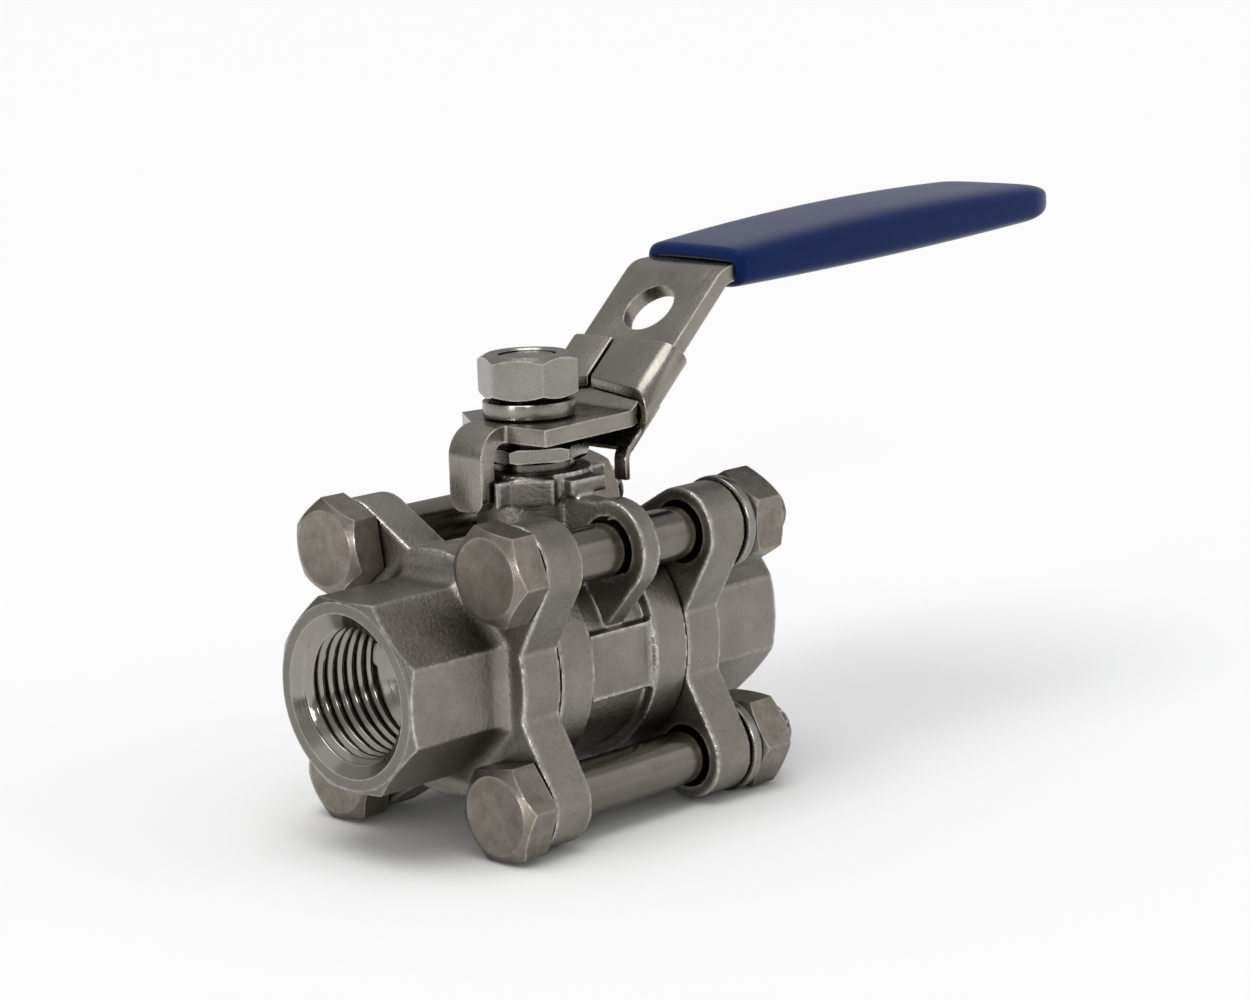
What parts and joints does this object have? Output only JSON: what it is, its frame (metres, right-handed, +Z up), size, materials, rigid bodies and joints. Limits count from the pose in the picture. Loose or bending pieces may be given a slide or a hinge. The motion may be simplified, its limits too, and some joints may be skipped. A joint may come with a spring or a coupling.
{
  "type": "ball valve",
  "caption": "Screwed-end ball valve: a body clamped between octagonal threaded ends by tie bolts, and a bent-strip lever with a plastic grip and a sliding lock.",
  "frame": {"origin": "centre of the ball, where the pipe axis and the stem axis cross", "axes": "+X along the pipe, towards the end that the open lever points over; +Z up along the stem, towards the lever; +Y across the valve"},
  "size_m": [0.1548, 0.0488, 0.0831],
  "materials": {
    "cast_stainless": "blasted satin, warm grey stainless casting",
    "turned_stainless": "turned and rolled stainless, bright edges",
    "sheet_stainless": "pressed satin stainless sheet",
    "seal_plastic": "white seal plastic",
    "blue_vinyl": "dipped navy vinyl, satin"
  },
  "bodies": {
    "valve_body": {"body": "cast_stainless", "inlet_end_cap": "cast_stainless", "inlet_gasket": "seal_plastic", "inlet_seat": "seal_plastic", "outlet_end_cap": "cast_stainless", "outlet_gasket": "seal_plastic", "outlet_seat": "seal_plastic", "packing_gland": "turned_stainless", "packing_ring_lower": "seal_plastic", "packing_ring_middle": "seal_plastic", "packing_ring_upper": "seal_plastic", "thrust_washer": "seal_plastic", "tie_bolt_1": "turned_stainless", "tie_bolt_2": "turned_stainless", "tie_bolt_3": "turned_stainless", "tie_bolt_4": "turned_stainless", "tie_nut_1": "turned_stainless", "tie_nut_2": "turned_stainless", "tie_nut_3": "turned_stainless", "tie_nut_4": "turned_stainless", "tie_washer_1": "turned_stainless", "tie_washer_2": "turned_stainless", "tie_washer_3": "turned_stainless", "tie_washer_4": "turned_stainless"},
    "lever_assembly": {"stem": "turned_stainless", "stem_nut": "turned_stainless", "lever": "sheet_stainless", "lever_grip": "blue_vinyl", "spring_washer": "turned_stainless", "lever_nut": "turned_stainless"},
    "ball": {"ball": "turned_stainless"},
    "lock_slide": {"lock_slide": "sheet_stainless"}
  },
  "joints": [
    {"name": "lever_turn", "type": "hinge", "parent": "valve_body", "child": "lever_assembly", "pos_m": [0, 0, 0], "axis": [0, 0, 1], "range_deg": [-90, 0]},
    {"name": "ball_turn", "type": "hinge", "parent": "valve_body", "child": "ball", "pos_m": [0, 0, 0], "axis": [0, 0, 1], "range_deg": [-90, 0]},
    {"name": "lock_travel", "type": "slide", "parent": "lever_assembly", "child": "lock_slide", "axis": [0.7373, 0, 0.6756], "range_m": [-0.0015, 0.012]}
  ],
  "couplings": [
    {"joint": "ball_turn", "follows": "lever_turn", "ratio": 1}
  ]
}
